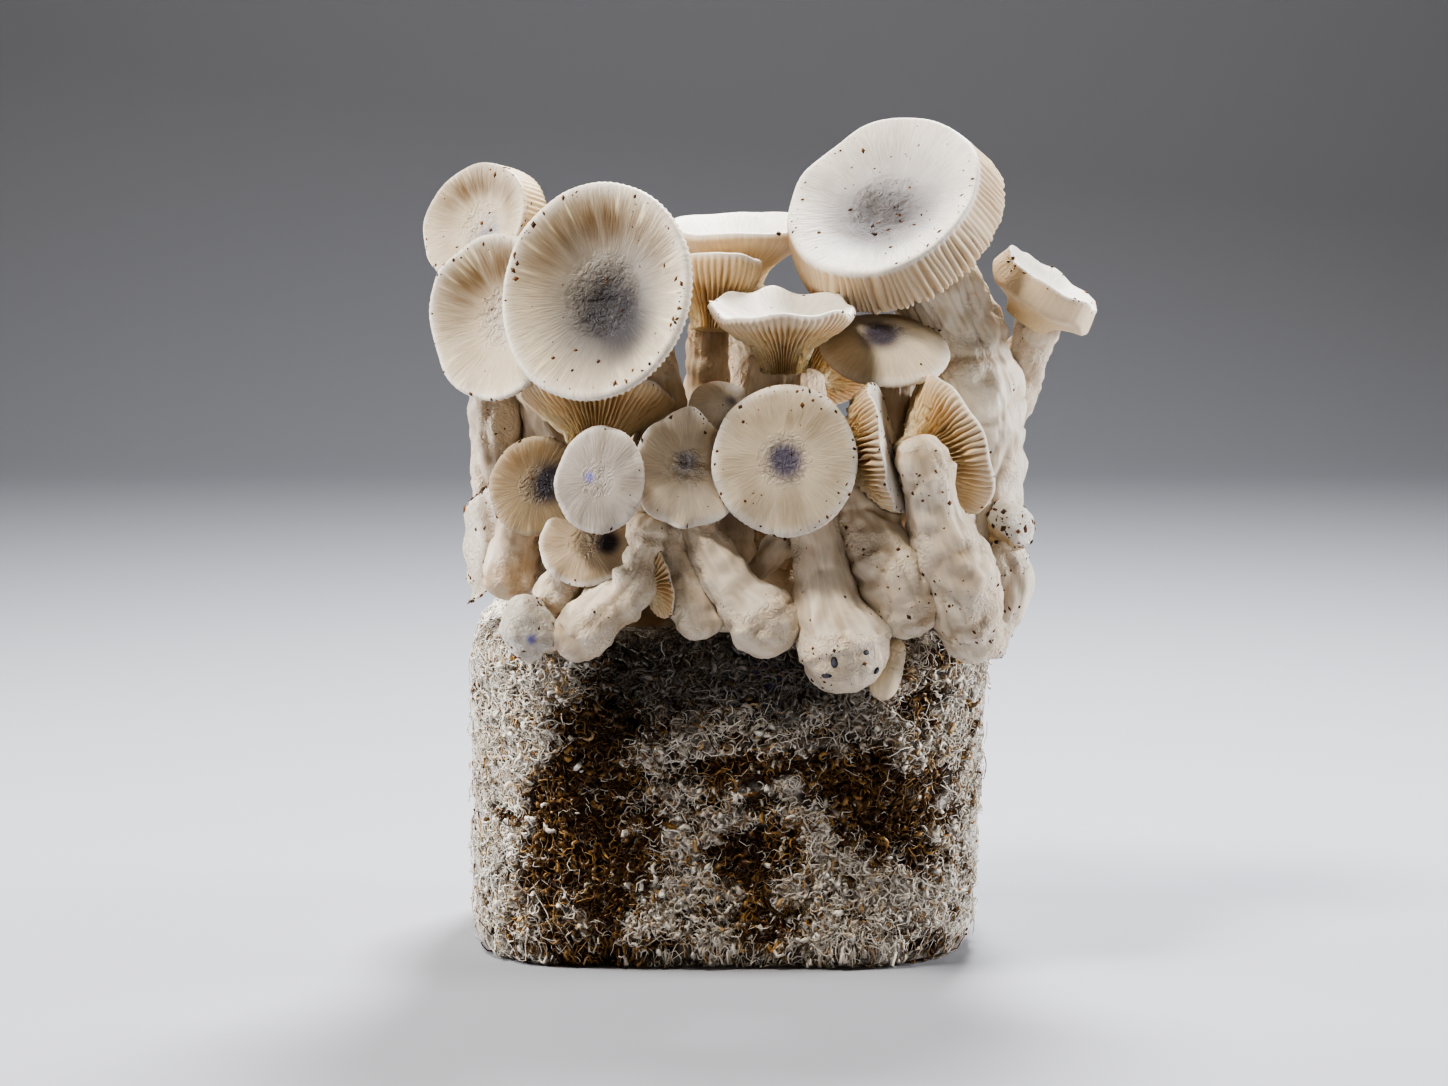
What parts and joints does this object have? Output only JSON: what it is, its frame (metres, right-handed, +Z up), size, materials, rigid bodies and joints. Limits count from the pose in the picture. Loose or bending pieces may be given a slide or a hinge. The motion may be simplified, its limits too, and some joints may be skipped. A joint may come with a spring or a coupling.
{
  "type": "oyster mushroom grow block",
  "caption": "Rounded block of mycelium-bound straw and sawdust with a dense cluster of pale oyster mushrooms fruiting from its top and front, standing on its flat underside",
  "frame": {"origin": "on the block's flat underside, below the middle of the block", "axes": "+Z up from the underside through the block, -Y towards the side the mushrooms grow out of, +X to the right seen from that side"},
  "size_m": [0.248, 0.1667, 0.3054],
  "materials": {
    "substrate": "matt, fibrous white mycelium over brown straw and sawdust",
    "fused_base": "matt, soft pale flesh",
    "stem_flesh": "matt, fibrous pale flesh",
    "cap_flesh": "satin ivory skin over pale gills"
  },
  "bodies": {
    "root": {"cap_front_centre": "cap_flesh", "cap_front_edge_on": "cap_flesh", "cap_left_bent": "cap_flesh", "cap_left_brown": "cap_flesh", "cap_left_button": "cap_flesh", "cap_left_low_brown": "cap_flesh", "cap_left_pale": "cap_flesh", "cap_left_side": "cap_flesh", "cap_left_upturned": "cap_flesh", "cap_middle_small": "cap_flesh", "cap_middle_wrinkled": "cap_flesh", "cap_rear_left": "cap_flesh", "cap_rear_low": "cap_flesh", "cap_rear_middle": "cap_flesh", "cap_rear_right": "cap_flesh", "cap_right_gilled": "cap_flesh", "cap_right_side_knob": "cap_flesh", "cap_right_spotted": "cap_flesh", "cap_top_middle_curled": "cap_flesh", "cap_top_middle_funnel": "cap_flesh", "cap_top_middle_rear": "cap_flesh", "cap_top_right_large": "cap_flesh", "cap_top_right_small": "cap_flesh", "cap_upper_left": "cap_flesh", "cap_upper_left_front": "cap_flesh", "cap_upper_left_rear": "cap_flesh", "fused_base": "fused_base", "stem_front_centre": "stem_flesh", "stem_front_edge_on": "stem_flesh", "stem_left_bent": "stem_flesh", "stem_left_brown": "stem_flesh", "stem_left_button": "stem_flesh", "stem_left_low_brown": "stem_flesh", "stem_left_pale": "stem_flesh", "stem_left_side": "stem_flesh", "stem_left_upturned": "stem_flesh", "stem_middle_small": "stem_flesh", "stem_middle_wrinkled": "stem_flesh", "stem_pin": "stem_flesh", "stem_rear_left": "stem_flesh", "stem_rear_low": "stem_flesh", "stem_rear_middle": "stem_flesh", "stem_rear_right": "stem_flesh", "stem_right_club": "stem_flesh", "stem_right_gilled": "stem_flesh", "stem_right_side_knob": "stem_flesh", "stem_right_spotted": "stem_flesh", "stem_small_bulb": "stem_flesh", "stem_top_middle_curled": "stem_flesh", "stem_top_middle_funnel": "stem_flesh", "stem_top_middle_rear": "stem_flesh", "stem_top_right_large": "stem_flesh", "stem_top_right_small": "stem_flesh", "stem_upper_left": "stem_flesh", "stem_upper_left_front": "stem_flesh", "stem_upper_left_rear": "stem_flesh", "stem_young": "stem_flesh", "substrate_block": "substrate"}
  },
  "joints": []
}
